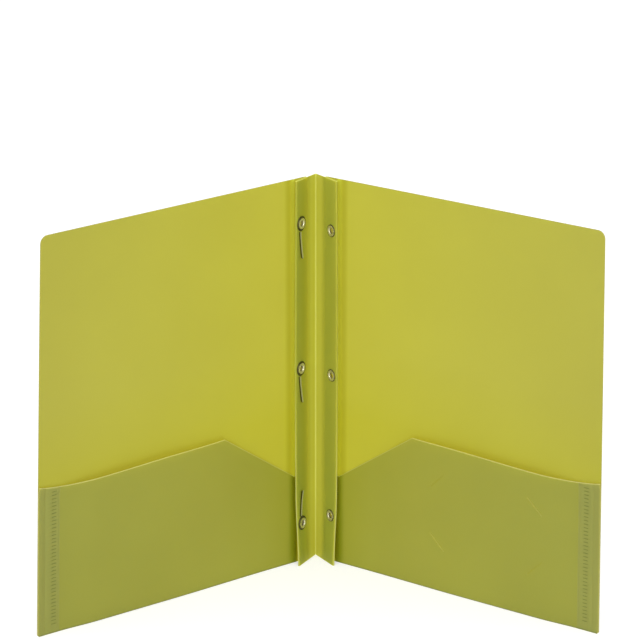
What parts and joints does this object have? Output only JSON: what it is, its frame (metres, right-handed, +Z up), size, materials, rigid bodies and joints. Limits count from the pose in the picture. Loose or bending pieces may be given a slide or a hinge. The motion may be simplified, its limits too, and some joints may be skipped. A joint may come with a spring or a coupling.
{
  "type": "two pocket folder",
  "caption": "Letter size plastic folder standing open, with a slant-cut pocket on each cover and a prong fastener in its folded spine.",
  "frame": {"origin": "middle of the open folder's footprint, at the height that it stands on", "axes": "+X across both covers, from the left pocket to the right one; +Y from the reader to the spine's centre crease; +Z up along the spine"},
  "size_m": [0.383, 0.1568, 0.291],
  "materials": {
    "sheet": "translucent chartreuse polypropylene sheet with a fine satin grain",
    "eyelet": "bright nickel plate",
    "prong": "nickel plated steel strip, dulled by bending"
  },
  "bodies": {
    "left_fin": {"spine_crease": "sheet", "left_spine_strip": "sheet", "left_fin_backing": "sheet", "left_fin_edge": "sheet", "left_cover_crease": "sheet", "left_top_eyelet": "eyelet", "left_middle_eyelet": "eyelet", "left_bottom_eyelet": "eyelet", "top_prong_ring": "prong", "middle_prong_ring": "prong", "bottom_prong_ring": "prong"},
    "right_fin": {"right_spine_strip": "sheet", "right_fin_backing": "sheet", "right_fin_edge": "sheet", "right_cover_crease": "sheet", "right_top_eyelet": "eyelet", "right_middle_eyelet": "eyelet", "right_bottom_eyelet": "eyelet"},
    "left_cover": {"left_cover_panel": "sheet", "left_pocket_flap": "sheet", "left_pocket_fold": "sheet", "left_pocket_weld": "sheet"},
    "right_cover": {"right_cover_panel": "sheet", "right_pocket_flap": "sheet", "right_pocket_fold": "sheet", "right_pocket_weld": "sheet"},
    "top_prong": {"top_prong_leg": "prong"},
    "middle_prong": {"middle_prong_leg": "prong"},
    "bottom_prong": {"bottom_prong_leg": "prong"}
  },
  "joints": [
    {"name": "spine_fold", "type": "hinge", "parent": "left_fin", "child": "right_fin", "pos_m": [0.00095, 0.07787, 0], "axis": [0, 0, 1], "range_deg": [-59, 113]},
    {"name": "left_cover_fold", "type": "hinge", "parent": "left_fin", "child": "left_cover", "pos_m": [-0.00722, 0.06889, 0], "axis": [0, 0, -1], "range_deg": [-17, 71]},
    {"name": "right_cover_fold", "type": "hinge", "parent": "right_fin", "child": "right_cover", "pos_m": [0.00911, 0.06889, 0], "axis": [0, 0, 1], "range_deg": [-17, 71]},
    {"name": "top_prong_bend", "type": "hinge", "parent": "left_fin", "child": "top_prong", "pos_m": [-0.00918, 0.06203, 0.25345], "axis": [-0.5519, -0.8339, 0], "range_deg": [0, 90]},
    {"name": "middle_prong_bend", "type": "hinge", "parent": "left_fin", "child": "middle_prong", "pos_m": [-0.00918, 0.06203, 0.1455], "axis": [-0.5519, -0.8339, 0], "range_deg": [0, 90]},
    {"name": "bottom_prong_bend", "type": "hinge", "parent": "left_fin", "child": "bottom_prong", "pos_m": [-0.00918, 0.06203, 0.03755], "axis": [0.5519, 0.8339, 0], "range_deg": [0, 90]}
  ]
}
